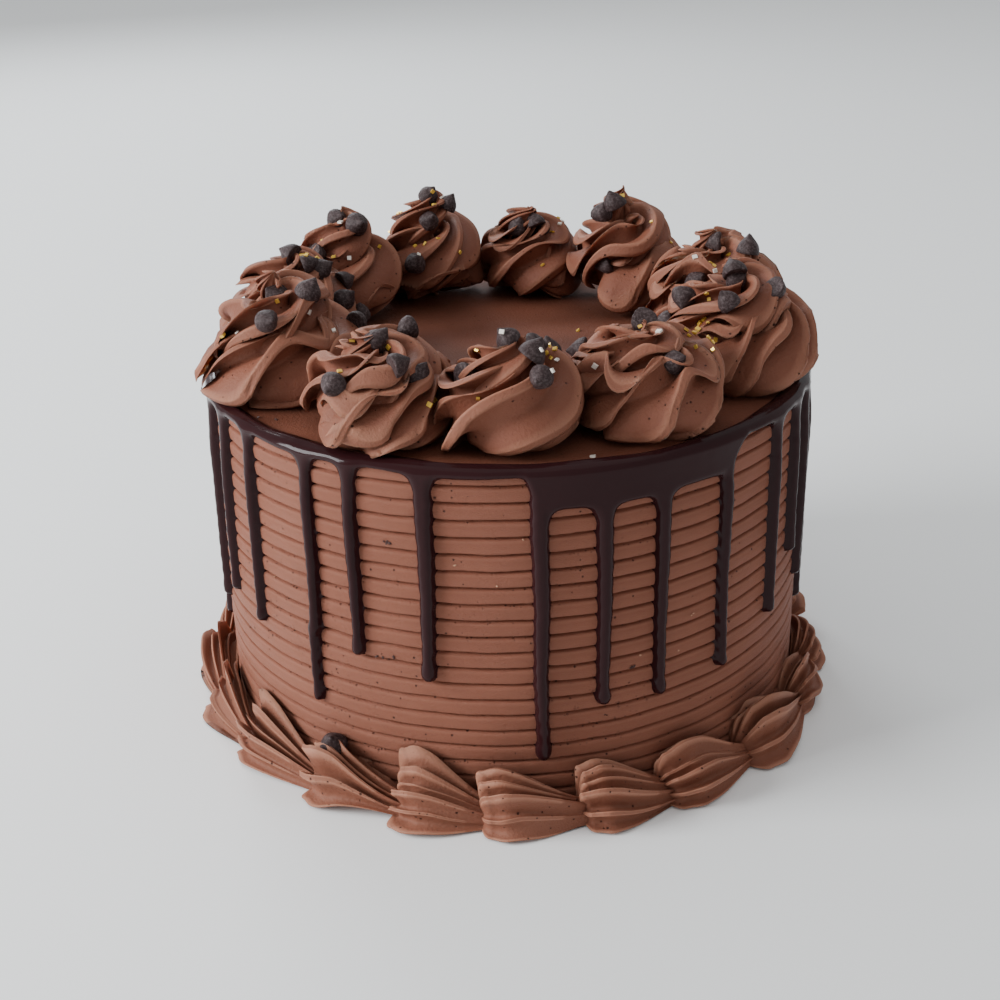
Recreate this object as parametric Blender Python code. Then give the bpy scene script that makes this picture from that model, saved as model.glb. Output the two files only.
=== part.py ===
"""A round chocolate drip cake: combed buttercream sides, a dark ganache rim that runs down in drips,
a ring of piped swirls with chocolate chips on top, and a shell border round the foot.

Metres, +Z up. The origin is the centre of the flat underside. A bearing is an angle in degrees round
the cake, from its front (-Y) towards its right (+X)."""

import math
import random

import bmesh
import bpy
from mathutils import Vector

MM = 0.001
GAP = 0.3 * MM                    # clearance between pieces that touch

# The cake with its coat of buttercream
CAKE_R = 80.0 * MM                # to the crests of the combed ridges
CAKE_H = 93.0 * MM
CAKE_SIDES = 30
COMB_PITCH = 4.35 * MM
COMB_FIRST = 10.45 * MM           # height of the lowest groove
COMB_GROOVES = 19
COMB_DEPTH = 1.2 * MM
COMB_HALF = 0.6 * MM              # half the groove's width at its mouth
COMB_RISE_X, COMB_RISE_Y = 0.011, 0.0075      # the comb was held a little out of level
RIM_CHAMFER = 0.6 * MM
BED_DEPTH = 1.2 * MM              # the ganache is let into the top by this much, and ends flush with it
BED_Z = CAKE_H - BED_DEPTH

# The ganache
BAND_SIDES = 44
BAND_OUT = 1.6 * MM               # how far the band stands out from the side
BAND_FOOT = 91.0 * MM             # its lower edge where nothing has run
BAND_WAVE = 0.4 * MM              # how unevenly that edge lies
BAND_FULLEST = 1.2 * MM           # the band is fullest this far above its lower edge
BAND_SHOULDER = 0.8 * MM          # and starts to round over this far below the top
INNER_R = 77.0 * MM               # mean radius of its wavy inner edge on top
POOL_FROM, POOL_TO = 4.0, 47.0    # bearings between which it has run down as one sheet
POOL_DROP = 8.4 * MM
POOL_EDGE = 8.0                   # degrees over which the sheet's edge falls
DRIP_W = 4.2 * MM
DRIP_OUT = 2.2 * MM
# Bearing and height in mm of the tip of each drip that the front shows
SEEN_DRIPS = ((-74, 34), (-64, 42), (-52.5, 39.5), (-36.5, 25), (-27.5, 42), (-14.2, 38), (4.9, 16.5),
              (15.6, 30.5), (26, 30), (39.6, 31.5), (54.8, 38), (64.5, 50), (73, 38))
HIDDEN_DRIPS = 17                 # those round the back follow the same rhythm
HIDDEN_TIPS = (18, 52)            # between these heights in mm

# The piped swirls: bearing, foot radius and height in mm of each
SWIRLS = ((0, 18.5, 25), (33.5, 20, 24.5), (73, 21.5, 31), (110, 19, 28), (144, 18, 34.5), (174, 16.5, 26),
          (201, 16.5, 32.5), (229, 17, 32.5), (258, 17.5, 28), (290, 20.5, 30.5), (329, 19.5, 24.5))
SWIRL_RING = 61.0 * MM            # radius of the ring on which they stand
ROPE_R = 9.3 * MM                 # thickness of the rope of buttercream that is coiled up
ROPE_TURNS = 2.2
ROPE_FOOT = 7.5 * MM              # height of its middle where it starts
ROPE_CLOSING = 2.2                # the higher, the later the coil closes in
ROPE_TIP = 2.0 * MM               # left for the drawn-off tip
RIDGES = 11                       # round a swirl
RIDGE_DEPTH = 0.17                # share of the radius that a valley lies below its ridges
TWIST = math.radians(110)         # turn of the ridges from foot to tip, anticlockwise from above
RING_SHARES = (0, 0.15, 0.34, 0.54, 0.74, 0.91)
LEAN = 1.5 * MM                   # how far a tip leans from the middle of its foot
TURN_EACH = 1.0                   # radians that each swirl is turned on from the one before
LEAN_EACH = 2.4

# The chocolate chips
CHIP_R = 2.95 * MM
CHIP_WAIST = 0.72                 # share of that radius at a little over half its height
CHIP_H = 5.2 * MM
CHIP_MIDDLE = 0.35                # its middle, as a share of its height
CHIP_PROUD = 0.5 * MM             # how far its middle stands above the buttercream
CHIP_SIDES = 5
# Where they lie on each swirl: direction from its axis as a bearing, and share of its height
CHIPS = (((270, .93), (37, .88), (24, .70), (92, .90), (139, .72)),
         ((239, .56), (30, .74), (180, .93)),
         ((265, .45), (289, .68), (316, .82), (286, .91), (343, .73), (56, .77)),
         ((333, .62), (0, .85), (45, .80)),
         ((300, .75), (325, .86), (330, .42)),
         ((320, .85), (20, .90), (80, .83)),
         ((350, .90), (0, .74), (345, .42), (70, .84)),
         ((300, .85), (40, .84), (320, .60)),
         ((237, .74), (246, .84), (262, .92), (47, .86), (71, .77), (111, .55), (78, .48), (87, .30)),
         ((313, .85), (56, .81), (358, .66), (98, .48)),
         ((119, .93), (141, .85), (326, .60), (25, .76), (53, .68), (66, .52)))
BORDER_CHIP = -33.5               # bearing of the one that has fallen on the border

# The shell border
SHELL_W = 16.0 * MM               # across the whole section, part of which the cake's side cuts off
SHELL_H = 16.0 * MM
SHELL_OUT = 4.0 * MM              # its middle lies this far out from the cake's side
SHELL_DRIFT = 3.0 * MM            # and drifts out this much more towards the tail
SHELL_POINTS = 9                  # across a shell, ridge and valley by turns
SHELL_VALLEY = 0.86
# Share of the length, and size of the section there as a share of the fullest
SHELL_STATIONS = ((0.0, 0.50), (0.08, 0.92), (0.26, 1.0), (0.55, 0.74), (0.80, 0.46), (0.985, 0.26))
# Bearing at which each shell that the front shows starts, and its size
SEEN_SHELLS = ((-54.5, 0.95), (-36, 0.97), (-18, 1.0), (-4, 1.2), (12.5, 1.06), (28.5, 1.02), (47, 1.02),
               (67, 0.92))
HIDDEN_SHELLS = 13

BUTTERCREAM = ("buttercream", (0.235, 0.110, 0.066, 1), 0.55)
GANACHE = ("ganache", (0.022, 0.011, 0.009, 1), 0.22)


def clear_scene():
    for obj in list(bpy.data.objects):
        bpy.data.objects.remove(obj)


def material(name, colour, roughness):
    """A Principled material, made once and shared."""
    found = bpy.data.materials.get(name)
    if found:
        return found
    made = bpy.data.materials.new(name)
    made.use_nodes = True
    shader = made.node_tree.nodes["Principled BSDF"]
    shader.inputs["Base Color"].default_value = colour
    shader.inputs["Roughness"].default_value = roughness
    shader.inputs["Metallic"].default_value = 0.0
    return made


def skin(name, rings, finish, parent, tip=None, closed=False):
    """A solid skinned over rings of equal count, each anticlockwise seen from the next one.

    The ends are flat faces, or the last one a fan to tip; closed joins the last ring to the first."""
    bm = bmesh.new()
    loops = [[bm.verts.new(p) for p in ring] for ring in rings]
    if closed:
        loops.append(loops[0])
    else:
        bm.faces.new(reversed(loops[0]))
        if tip is None:
            bm.faces.new(loops[-1])
        else:
            loops.append([bm.verts.new(tip)] * len(rings[0]))
    for low, high in zip(loops, loops[1:]):
        for j in range(len(low)):
            corners = [low[j - 1], low[j], high[j], high[j - 1]]
            bm.faces.new(list(dict.fromkeys(corners)))
    mesh = bpy.data.meshes.new(name)
    bm.to_mesh(mesh)
    bm.free()
    mesh.shade_smooth()
    mesh.set_sharp_from_angle(angle=math.radians(40))
    mesh.materials.append(material(*finish))
    obj = bpy.data.objects.new(name, mesh)
    obj.parent = parent
    bpy.context.scene.collection.objects.link(obj)
    return obj


def fuse(target, extras):
    """Unites the extra objects with target in one Boolean, applies it and removes them."""
    group = bpy.data.collections.new(target.name + "_extras")
    bpy.context.scene.collection.children.link(group)
    for obj in extras:
        bpy.context.scene.collection.objects.unlink(obj)
        group.objects.link(obj)
    join = target.modifiers.new("fuse", "BOOLEAN")
    join.operation = "UNION"
    join.operand_type = "COLLECTION"
    join.collection = group
    bpy.context.view_layer.update()
    graph = bpy.context.evaluated_depsgraph_get()
    target.data = bpy.data.meshes.new_from_object(target.evaluated_get(graph))
    target.modifiers.clear()
    for obj in extras:
        bpy.data.objects.remove(obj)
    bpy.data.collections.remove(group)


def at(bearing, radius, height=0.0):
    """The point at a bearing, a distance from the axis and a height."""
    a = math.radians(bearing)
    return Vector((radius * math.sin(a), -radius * math.cos(a), height))


def inner_edge(bearing):
    """Radius of the ganache's wavy inner edge on the top."""
    a = math.radians(bearing)
    return INNER_R + 0.8 * MM * math.sin(3 * a + 0.6) + 0.4 * MM * math.sin(5 * a)


def cake_body(parent):
    """The uncut cake: a combed side, and a shallow bed round its top edge for the ganache."""
    bearings = [360 * j / CAKE_SIDES for j in range(CAKE_SIDES)]
    rings = [[at(b, CAKE_R) for b in bearings]]
    for k in range(COMB_GROOVES):
        z = COMB_FIRST + k * COMB_PITCH
        for radius, up in ((CAKE_R, -COMB_HALF), (CAKE_R - COMB_DEPTH, 0), (CAKE_R, COMB_HALF)):
            ring = [at(b, radius, z + up) for b in bearings]
            for p in ring:
                p.z += COMB_RISE_X * p.x + COMB_RISE_Y * (p.y + CAKE_R)
            rings.append(ring)
    rings.append([at(b, CAKE_R, BED_Z - RIM_CHAMFER) for b in bearings])
    rings.append([at(b, CAKE_R - RIM_CHAMFER, BED_Z) for b in bearings])
    # A little more than the usual gap, because these rings have fewer sides than the ganache's
    rings.append([at(b, inner_edge(b) - 1.3 * GAP, BED_Z) for b in bearings])
    rings.append([at(b, inner_edge(b) - 1.3 * GAP, CAKE_H) for b in bearings])
    return skin("cake_body", rings, BUTTERCREAM, parent)


def smooth_step(x):
    x = min(max(x, 0.0), 1.0)
    return x * x * (3 - 2 * x)


def band_foot(bearing):
    """Height of the band's lower edge between the drips, lower where it has run as one sheet."""
    b = (bearing + 180) % 360 - 180
    pool = smooth_step((b - POOL_FROM) / POOL_EDGE) * smooth_step((POOL_TO - b) / POOL_EDGE)
    return BAND_FOOT + BAND_WAVE * math.sin(math.radians(11 * b)) - POOL_DROP * pool


def band_section(bearing):
    """The band's closed outline as distance from the axis and height, down its inner side first."""
    foot = band_foot(bearing)
    high = CAKE_H - foot
    return ((inner_edge(bearing), CAKE_H), (CAKE_R - 0.4 * MM, CAKE_H),
            (CAKE_R + 0.8 * BAND_OUT, CAKE_H - min(0.25 * high, BAND_SHOULDER)),
            (CAKE_R + BAND_OUT, foot + min(0.4 * high, BAND_FULLEST)),
            (CAKE_R + 0.6 * BAND_OUT, foot - 0.3 * MM), (CAKE_R + GAP, foot),
            (CAKE_R + GAP, BED_Z - RIM_CHAMFER + GAP / 2),
            (CAKE_R - RIM_CHAMFER + GAP / 2, BED_Z + GAP), (inner_edge(bearing), BED_Z + GAP))


def drips():
    """Bearing and height of the tip of every drip, those seen and then those behind."""
    draw = random.Random(7)
    last = SEEN_DRIPS[-1][0]
    step = (360 + SEEN_DRIPS[0][0] - last) / (HIDDEN_DRIPS + 1)
    hidden = [(last + (k + 1 + draw.uniform(-0.22, 0.22)) * step, draw.uniform(*HIDDEN_TIPS))
              for k in range(HIDDEN_DRIPS)]
    return list(SEEN_DRIPS) + hidden


def drip(bearing, tip, width, out, parent):
    """One drip: a flat-backed bead that widens into the band above and swells at its tip.

    It is modelled at the front, from its tip upwards, and turned to its bearing."""
    top = band_foot(bearing) - tip
    # Height above the tip, share of the width and share of the thickness of each section
    sections = ((0, 0.4, 0.4), (1.3 * MM, 1.08, 1.1), (6 * MM, 0.84, 0.85),
                (top - 3.5 * MM, 1.0, 0.95), (top + 0.6 * MM, 1.9, 0.62))
    back = CAKE_R + 1.4 * GAP
    outline = ((-1, 0), (-0.72, 0.72), (0, 1), (0.72, 0.72), (1, 0))
    rings = []
    for z, wide, thick in sections:
        rings.append([(x * width / 2 * wide, -back - y * out * thick, z) for x, y in outline])
    bead = skin("drip", rings, GANACHE, parent)
    bead.location.z = tip
    bead.rotation_euler.z = math.radians(bearing)
    return bead


def ganache(parent):
    """The band over the top edge, fused with all its drips."""
    rings = []
    for j in range(BAND_SIDES):
        bearing = 360 * j / BAND_SIDES
        rings.append([at(bearing, radius, z) for radius, z in band_section(bearing)])
    band = skin("ganache_drip", rings, GANACHE, parent, closed=True)
    draw = random.Random(8)
    beads = []
    for bearing, tip in drips():
        width = DRIP_W * draw.uniform(0.88, 1.12)
        out = DRIP_OUT * draw.uniform(0.9, 1.1)
        beads.append(drip(bearing, tip * MM, width, out, parent))
    fuse(band, beads)
    return band


def swirl_centre(index):
    return at(SWIRLS[index][0], SWIRL_RING, CAKE_H + GAP)


def swirl_walls(index):
    """Where a swirl is pressed flat by its two neighbours: the direction and distance of each plane."""
    walls = []
    for other in (index - 1, (index + 1) % len(SWIRLS)):
        apart = swirl_centre(other) - swirl_centre(index)
        share = SWIRLS[index][1] / (SWIRLS[index][1] + SWIRLS[other][1])
        walls.append((apart.normalized(), apart.length * share - GAP / 2))
    return walls


def swirl_axis(index, share):
    """The point of a swirl's leaning axis at a share of its height, from the middle of its foot."""
    a = LEAN_EACH * index
    return Vector((LEAN * share * math.cos(a), LEAN * share * math.sin(a), SWIRLS[index][2] * MM * share))


def rope(index, u):
    """Distance of the coiled rope from the axis, its thickness and its height, at a share of its length."""
    _, foot, height = SWIRLS[index]
    coil = (foot * MM - ROPE_R) * (1 - u ** ROPE_CLOSING)
    thick = ROPE_R * (1 - 0.18 * u - 0.6 * u ** 4)
    rise = ROPE_FOOT + (height * MM - ROPE_FOOT - ROPE_TIP) * (0.35 * u + 0.65 * u * u)
    return coil, thick, rise


def swirl_reach(index, angle, share):
    """How far the coiled rope reaches out from the axis in a direction, at a share of the height."""
    z = share * SWIRLS[index][2] * MM
    turn = (angle - TURN_EACH * index) / (2 * math.pi) % 1.0
    reach = 0.6 * MM
    while turn <= ROPE_TURNS:
        coil, thick, rise = rope(index, turn / ROPE_TURNS)
        # Below its middle the rope is pressed down, so that it spreads
        off = (z - rise) * (1.0 if z > rise else 0.6)
        if abs(off) < thick:
            reach = max(reach, coil + math.sqrt(thick * thick - off * off))
        turn += 1.0
    return reach


def swirl(index, parent):
    """One piped swirl: a ridged rope coiled up to a tip, whose ridges turn as they climb."""
    rings = []
    for share in RING_SHARES:
        axis = swirl_axis(index, share)
        ring = []
        for j in range(2 * RIDGES):
            a = math.pi * j / RIDGES + TWIST * share + TURN_EACH * index
            out = Vector((math.cos(a), math.sin(a), 0))
            reach = swirl_reach(index, a, share) * (1 - RIDGE_DEPTH * (j % 2))
            for normal, distance in swirl_walls(index):
                if out.dot(normal) > 0.05:
                    reach = min(reach, (distance - axis.dot(normal)) / out.dot(normal))
            ring.append(axis + out * reach)
        rings.append(ring)
    piece = skin(f"swirl_{index + 1:02d}", rings, BUTTERCREAM, parent, tip=swirl_axis(index, 1.0))
    piece.location = swirl_centre(index)
    return piece


def chip(centre, pointing, turn, parent):
    """One chocolate chip: a drop with a flat end, round its centre, its point towards pointing."""
    rings = []
    for radius, z in ((CHIP_R, 0), (CHIP_WAIST * CHIP_R, 0.56 * CHIP_H)):
        angles = [2 * math.pi * j / CHIP_SIDES + turn for j in range(CHIP_SIDES)]
        rings.append([(radius * math.cos(a), radius * math.sin(a), z) for a in angles])
    drop = skin("chip", rings, GANACHE, parent, tip=(0, 0, CHIP_H))
    drop.location = centre - pointing * CHIP_MIDDLE * CHIP_H
    drop.rotation_euler = pointing.to_track_quat("Z", "Y").to_euler()
    return drop


def swirl_chips(index, parent):
    """The chips on one swirl, half pressed in and each lying its own way."""
    draw = random.Random(100 + index)
    made = []
    for bearing, share in CHIPS[index]:
        reach = swirl_reach(index, math.radians(bearing - 90), share) * (1 - RIDGE_DEPTH / 2)
        away = (at(bearing, 1) + Vector((0, 0, 2 * share * share))).normalized()
        tilt = Vector((draw.uniform(-1, 1), draw.uniform(-1, 1), draw.uniform(-1, 1)))
        centre = swirl_axis(index, share) + at(bearing, reach) + away * CHIP_PROUD
        # One that would reach into the next swirl lies further back and higher
        for normal, distance in swirl_walls(index):
            over = max(centre.dot(normal) + 1.2 * CHIP_R - distance, 0)
            centre += (Vector((0, 0, 0.5)) - normal) * over
        pointing = (away + 0.8 * tilt).normalized()
        made.append(chip(swirl_centre(index) + centre, pointing, draw.uniform(0, 1), parent))
    return made


def shells():
    """Bearing and size of each shell, those seen and then the rest evenly round the back."""
    draw = random.Random(200)
    last = SEEN_SHELLS[-1][0]
    step = (360 + SEEN_SHELLS[0][0] - last) / (HIDDEN_SHELLS + 1)
    hidden = [(last + step * (k + 1), draw.uniform(0.84, 1.02)) for k in range(HIDDEN_SHELLS)]
    return list(SEEN_SHELLS) + hidden


def shell(index, span, size, parent):
    """One piped shell: a full ridged head that runs on into a thin tail, over a span in degrees.

    It is modelled with its head at the front, and turned to its bearing afterwards."""
    wall = CAKE_R + 1.5 * GAP
    rings = []
    for share, scale in SHELL_STATIONS:
        half = SHELL_W / 2 * scale * size
        middle = wall + SHELL_OUT * scale + SHELL_DRIFT * share
        ring = []
        for j in reversed(range(SHELL_POINTS)):
            a = math.pi * j / (SHELL_POINTS - 1)
            ridge = SHELL_VALLEY if j % 2 else 1.0
            radius = max(wall, middle + ridge * half * math.cos(a))
            ring.append(at(span * share, radius, ridge * SHELL_H * scale * size * math.sin(a)))
        rings.append(ring)
    return skin(f"shell_{index + 1:02d}", rings, BUTTERCREAM, parent)


def shell_border(parent):
    """The shells one after another, each ending where the next one starts."""
    row = shells()
    ends = [bearing for bearing, _ in row[1:]] + [row[0][0] + 360]
    for index, (bearing, size) in enumerate(row):
        piece = shell(index, ends[index] - bearing, size, parent)
        piece.rotation_euler.z = math.radians(bearing)
        if bearing < BORDER_CHIP < ends[index]:
            centre = at(BORDER_CHIP, CAKE_R + SHELL_OUT, SHELL_H)
            fuse(piece, [chip(centre, Vector((-0.2, -0.5, 0.8)).normalized(), 0.4, parent)])


def main():
    clear_scene()
    cake = bpy.data.objects.new("cake", None)
    bpy.context.scene.collection.objects.link(cake)
    cake_body(cake)
    ganache(cake)
    for index in range(len(SWIRLS)):
        fuse(swirl(index, cake), swirl_chips(index, cake))
    shell_border(cake)


main()
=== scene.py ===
# %% [markdown]
# # A chocolate drip cake
# We dress a plain, faceted cake with the surfaces that make it look good to eat: combed buttercream,
# glossy ganache that has run down in drips, piped swirls, a shell border, chocolate chips and coloured
# sugar. Each surface is a formula on a grid of points, worked out with numpy and handed to Blender.

# %% Load the frame
import math
import random

import bpy
import numpy as np
from mathutils import Matrix, Vector
from mathutils.bvhtree import BVHTree


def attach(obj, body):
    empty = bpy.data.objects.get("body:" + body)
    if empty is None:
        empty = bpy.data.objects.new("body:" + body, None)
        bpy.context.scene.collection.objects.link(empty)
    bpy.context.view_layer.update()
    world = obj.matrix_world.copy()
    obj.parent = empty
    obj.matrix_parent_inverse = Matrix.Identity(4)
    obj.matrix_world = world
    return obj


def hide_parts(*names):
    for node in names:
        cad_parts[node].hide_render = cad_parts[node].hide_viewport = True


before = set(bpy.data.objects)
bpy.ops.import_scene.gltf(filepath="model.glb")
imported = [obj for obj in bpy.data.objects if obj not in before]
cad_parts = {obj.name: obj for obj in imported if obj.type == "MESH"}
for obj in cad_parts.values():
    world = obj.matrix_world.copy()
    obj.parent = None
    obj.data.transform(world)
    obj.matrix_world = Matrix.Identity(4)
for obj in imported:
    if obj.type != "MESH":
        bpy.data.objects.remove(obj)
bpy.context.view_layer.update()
print("solid pieces:", len(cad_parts))

# %% [markdown]
# ## Sizes
# All numbers here are millimetres, and only the finished meshes are in metres. A *bearing* is an angle
# round the cake: 0 is the front (-Y), and it grows towards the right (+X).

# %% Sizes and bearings
MM = 0.001
CAKE_R = 80.0
CAKE_H = 93.0


def place(bearing, radius, height):
    """Points in space: x = radius * sin(bearing), y = -radius * cos(bearing), z = height."""
    x = radius * np.sin(bearing)
    y = -radius * np.cos(bearing)
    return np.stack(np.broadcast_arrays(x, y, height), axis=-1)


def smooth(x):
    """0 below 0, 1 above 1, and between them the soft step 3x^2 - 2x^3."""
    x = np.clip(x, 0.0, 1.0)
    return x * x * (3 - 2 * x)


# %% [markdown]
# ## Unevenness
# Food is never quite regular. A sum of cosine waves with random directions and phases gives a smooth,
# endless unevenness. With whole numbers of waves round the cake it has no seam.

# %% Random waves
def ripples(seed, count, around, along):
    """A function of (angle, length): the sum of `count` cosines, scaled to about -1..1.

    Each has a whole number of waves round the angle, up to `around`, and up to `along` waves per mm."""
    draw = np.random.default_rng(seed)
    turns = draw.integers(-around, around + 1, count)
    pace = draw.uniform(-along, along, count) * 2 * math.pi
    phase = draw.uniform(0, 2 * math.pi, count)

    def value(angle, length):
        total = 0.0
        for n, k, p in zip(turns, pace, phase):
            total = total + np.cos(n * angle + k * length + p)
        return total / math.sqrt(count)

    return value


# %% [markdown]
# ## From a grid of points to a mesh
# `foreach_set` copies whole arrays into a mesh at once. The quads of a grid follow from its shape alone:
# each one joins a point to the next in its row and to the same two in the next row.

# %% Grids and meshes
def grid_quads(rows, columns):
    """Corner numbers of the quads of a grid whose rows are rings, one row of four for each."""
    numbers = np.arange(rows * columns).reshape(rows, columns)
    numbers = np.hstack([numbers, numbers[:, :1]])
    a = numbers[:-1, :-1]
    b = numbers[1:, :-1]
    c = numbers[1:, 1:]
    d = numbers[:-1, 1:]
    return np.stack([a, b, c, d], axis=-1).reshape(-1, 4)


def fan(ring, pole):
    """Triangles that join a closed ring of point numbers to one pole, one row of three for each."""
    return np.stack([ring, np.roll(ring, -1), np.full_like(ring, pole)], axis=-1)


def closed_grid(grid, poles=None, flip=False):
    """Points and faces of a grid whose rows are rings, closed by a fan at each end.

    The fans' poles are the middles of the end rows, unless given. `flip` turns the faces over."""
    rows, columns, _ = grid.shape
    flat = grid.reshape(-1, 3)
    if poles is None:
        poles = [grid[0].mean(axis=0), grid[-1].mean(axis=0)]
    first = np.arange(columns)
    last = first + (rows - 1) * columns
    caps = np.concatenate([fan(first, len(flat)), fan(last, len(flat) + 1)[:, ::-1]])
    faces = [grid_quads(rows, columns), caps]
    if flip:
        faces = [face[:, ::-1] for face in faces]
    return np.vstack([flat, poles]), faces


def add_piece(name, points, faces, material, values=None):
    """A smooth mesh object of points in mm and a list of face arrays, with named values per point."""
    mesh = bpy.data.meshes.new(name)
    points = np.asarray(points, float).reshape(-1, 3) * MM
    corners = np.concatenate([f.reshape(-1) for f in faces])
    sizes = np.concatenate([np.full(len(f), f.shape[1]) for f in faces])
    mesh.vertices.add(len(points))
    mesh.vertices.foreach_set("co", points.reshape(-1).astype(np.float32))
    mesh.loops.add(len(corners))
    mesh.loops.foreach_set("vertex_index", corners.astype(np.int32))
    mesh.polygons.add(len(sizes))
    starts = np.concatenate([[0], np.cumsum(sizes)[:-1]])
    mesh.polygons.foreach_set("loop_start", starts.astype(np.int32))
    mesh.polygons.foreach_set("loop_total", sizes.astype(np.int32))
    for key, data in (values or {}).items():
        # Poles come last, and have the value 0 unless the data reaches them
        data = np.append(data, np.zeros(len(points) - np.size(data)))
        layer = mesh.attributes.new(key, "FLOAT", "POINT")
        layer.data.foreach_set("value", data.astype(np.float32))
    mesh.update(calc_edges=True)
    mesh.validate()
    mesh.shade_smooth()
    mesh.materials.append(material)
    obj = bpy.data.objects.new(name, mesh)
    bpy.context.scene.collection.objects.link(obj)
    triangles = int((sizes - 2).sum())
    print(f"{name}: {triangles} triangles")
    return obj


# %% [markdown]
# ## Shader groups
# The buttercream shows tiny pits where air bubbles broke. A group node holds that pattern once, and every
# material that needs it uses the same group. It only gives out masks, so the shader itself stays visible
# in the material.

# %% A group for the air pits
def feed(link, socket, value):
    """Link a socket to a value that is a socket too, and else set it to the value."""
    if isinstance(value, bpy.types.NodeSocket):
        link(value, socket)
    else:
        socket.default_value = value


def calculate(nodes, link, operation, *values):
    """The result of a Math node on numbers or sockets."""
    node = nodes.new("ShaderNodeMath")
    node.operation = operation
    for socket, value in zip(node.inputs, values):
        feed(link, socket, value)
    return node.outputs["Value"]


def make_pits():
    """Pits: points of a Voronoi pattern, kept where the cell's random colour is low, round and soft."""
    group = bpy.data.node_groups.new("Air pits", "ShaderNodeTree")
    new_socket = group.interface.new_socket
    new_socket("Vector", in_out="INPUT", socket_type="NodeSocketVector")
    for label in ("Spacing", "Size", "Share"):
        new_socket(label, in_out="INPUT", socket_type="NodeSocketFloat")
    new_socket("Pit", in_out="OUTPUT", socket_type="NodeSocketFloat")
    nodes = group.nodes
    link = group.links.new
    first = nodes.new("NodeGroupInput")
    last = nodes.new("NodeGroupOutput")
    cells = nodes.new("ShaderNodeTexVoronoi")
    link(first.outputs["Vector"], cells.inputs["Vector"])
    link(first.outputs["Spacing"], cells.inputs["Scale"])
    red = nodes.new("ShaderNodeSeparateColor")
    link(cells.outputs["Color"], red.inputs["Color"])
    kept = calculate(nodes, link, "LESS_THAN", red.outputs["Red"], first.outputs["Share"])
    # Each pit has its own size
    own = calculate(nodes, link, "MULTIPLY", red.outputs["Green"], first.outputs["Size"])
    ratio = calculate(nodes, link, "DIVIDE", cells.outputs["Distance"], own)
    hole = nodes.new("ShaderNodeMapRange")
    hole.interpolation_type = "SMOOTHSTEP"
    hole.inputs["From Min"].default_value = 0.55
    hole.inputs["From Max"].default_value = 1.0
    hole.inputs["To Min"].default_value = 1.0
    hole.inputs["To Max"].default_value = 0.0
    link(ratio, hole.inputs["Value"])
    link(calculate(nodes, link, "MULTIPLY", hole.outputs["Result"], kept), last.inputs["Pit"])
    return group


PITS = make_pits()

# %% [markdown]
# ## Buttercream
# Chocolate buttercream is satin and a little translucent. Along thin edges its colour is made lighter as a
# painted highlight, and the meshes carry an `edge` value for that. The colour drifts slightly from place to
# place, and the pits are sunk and darkened with painted shade.

# %% Buttercream materials
def new_material(name):
    """A material, its nodes, its function that links them, and its shader."""
    material = bpy.data.materials.new(name)
    material.use_nodes = True
    nodes = material.node_tree.nodes
    return material, nodes, material.node_tree.links.new, nodes["Principled BSDF"]


def mix_colour(nodes, link, factor, a, b):
    """A colour mix node: a where the factor is 0, b where it is 1. Each is a colour or a socket."""
    mix = nodes.new("ShaderNodeMix")
    mix.data_type = "RGBA"
    for socket, value in ((mix.inputs["Factor"], factor), (mix.inputs[6], a), (mix.inputs[7], b)):
        feed(link, socket, value)
    return mix.outputs[2]


def noise(nodes, link, coordinates, scale, detail=3.0, roughness=0.55):
    """The value of a noise texture at so many features per metre."""
    texture = nodes.new("ShaderNodeTexNoise")
    texture.inputs["Scale"].default_value = scale
    texture.inputs["Detail"].default_value = detail
    texture.inputs["Roughness"].default_value = roughness
    link(coordinates, texture.inputs["Vector"])
    return texture.outputs["Fac"]


def add_bump(nodes, link, shader, height, strength, distance):
    """Relief on the shader's surface: heights of 0 to 1 stand for 0 to `distance` metres."""
    bump = nodes.new("ShaderNodeBump")
    bump.inputs["Strength"].default_value = strength
    bump.inputs["Distance"].default_value = distance
    link(height, bump.inputs["Height"])
    link(bump.outputs["Normal"], shader.inputs["Normal"])


def add_pits(nodes, link, where, spacing, size, share):
    """The mask of a pits group with its own values."""
    pits = nodes.new("ShaderNodeGroup")
    pits.node_tree = PITS
    for label, value in (("Spacing", spacing), ("Size", size), ("Share", share)):
        pits.inputs[label].default_value = value
    link(where, pits.inputs["Vector"])
    return pits.outputs["Pit"]


def attribute(nodes, name):
    """A value that the mesh carries for each point."""
    node = nodes.new("ShaderNodeAttribute")
    node.attribute_name = name
    return node.outputs["Fac"]


# Painted shade on the top: darker and redder, for the shade of the swirls around it
TOP_SHADE_COLOUR = (0.085, 0.026, 0.014, 1)
# Painted shade in the air pits
PIT_SHADE_COLOUR = (0.062, 0.021, 0.013, 1)
PIT_SUNK = -1.6


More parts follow.
